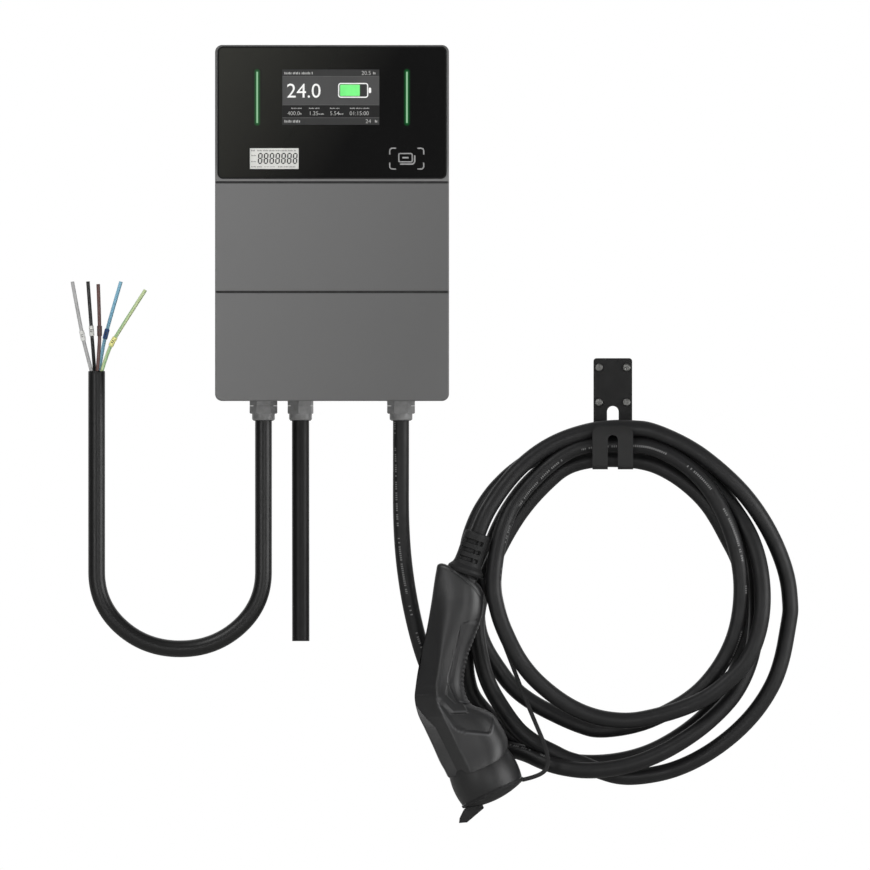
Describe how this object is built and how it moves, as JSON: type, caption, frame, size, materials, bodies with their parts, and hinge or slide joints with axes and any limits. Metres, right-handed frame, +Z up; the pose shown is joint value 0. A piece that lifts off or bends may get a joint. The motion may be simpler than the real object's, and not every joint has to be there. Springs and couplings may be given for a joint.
{
  "type": "ev charger",
  "caption": "Wall-mounted EV charger with display panel, supply cable, charging cable coiled on a wall hook, and a vehicle connector with dust cap.",
  "frame": {"origin": "centre of the wall bracket's hole pattern, on the wall plane", "axes": "+Z up, +Y into the wall, +X to the right as the charger is seen from the front"},
  "size_m": [0.7165, 0.143, 0.7648],
  "materials": {
    "zinc_steel": "zinc plated",
    "cover_grey": "satin moulded",
    "black_rubber": "matt",
    "black_glass": "polished black",
    "display_face": "lit display",
    "meter_face": "pale liquid crystal",
    "green_light": "lit light guide",
    "circuit_board": "solder resist",
    "device_plastic": "moulded",
    "gland_grey": "moulded nylon",
    "supply_jacket": "smooth, slightly glossy",
    "charging_jacket": "matt",
    "core_sleeves": "coloured marker sleeves",
    "core_grey": "insulation",
    "core_black": "insulation",
    "core_brown": "insulation",
    "core_blue": "insulation",
    "core_earth": "green and yellow insulation",
    "hook_black": "powder coated",
    "connector_plastic": "fine texture",
    "contact_silver": "silver plated"
  },
  "bodies": {
    "charger_set": {"wall_bracket": "zinc_steel", "bracket_screws": "zinc_steel", "rear_housing": "cover_grey", "housing_gasket": "black_rubber", "upper_cover": "cover_grey", "middle_cover": "cover_grey", "lower_cover": "cover_grey", "cover_screws": "zinc_steel", "glass_panel": "black_glass", "display_module": "display_face", "meter_display": "meter_face", "light_guides": "green_light", "display_board": "circuit_board", "board_screws": "zinc_steel", "card_antenna": "circuit_board", "control_board": "circuit_board", "control_screws": "zinc_steel", "din_rail": "zinc_steel", "energy_meter": "device_plastic", "main_contactor": "device_plastic", "fault_monitor": "device_plastic", "supply_terminals": "device_plastic", "output_terminals": "device_plastic", "supply_gland_body": "gland_grey", "supply_gland_nut": "gland_grey", "supply_gland_seal": "black_rubber", "supply_gland_locknut": "gland_grey", "second_gland_body": "gland_grey", "second_gland_nut": "gland_grey", "second_gland_seal": "black_rubber", "second_gland_locknut": "gland_grey", "output_gland_body": "gland_grey", "output_gland_nut": "gland_grey", "output_gland_seal": "black_rubber", "output_gland_locknut": "gland_grey", "supply_cable": "supply_jacket", "core_sleeves": "core_sleeves", "core_grey": "core_grey", "core_black": "core_black", "core_brown": "core_brown", "core_blue": "core_blue", "core_earth": "core_earth", "second_cable": "supply_jacket", "charging_cable_lead": "charging_jacket", "charging_cable_end": "charging_jacket", "charging_cable_coil": "charging_jacket", "cable_hook": "hook_black", "hook_screws": "zinc_steel", "connector_shell_front": "connector_plastic", "connector_shell_rear": "connector_plastic", "grip_inlay": "black_rubber", "connector_screws": "zinc_steel", "nose_shroud": "connector_plastic", "nose_seal": "black_rubber", "contact_insert": "device_plastic", "contact_sleeves": "contact_silver", "cable_clamp": "device_plastic", "strain_relief": "black_rubber", "cap_tether": "black_rubber"},
    "cap": {"dust_cap": "black_rubber"}
  },
  "joints": [
    {"name": "dust_cap_slide", "type": "slide", "parent": "charger_set", "child": "cap", "axis": [0.4305, 0, -0.9026], "range_m": [0, 0.045]}
  ]
}
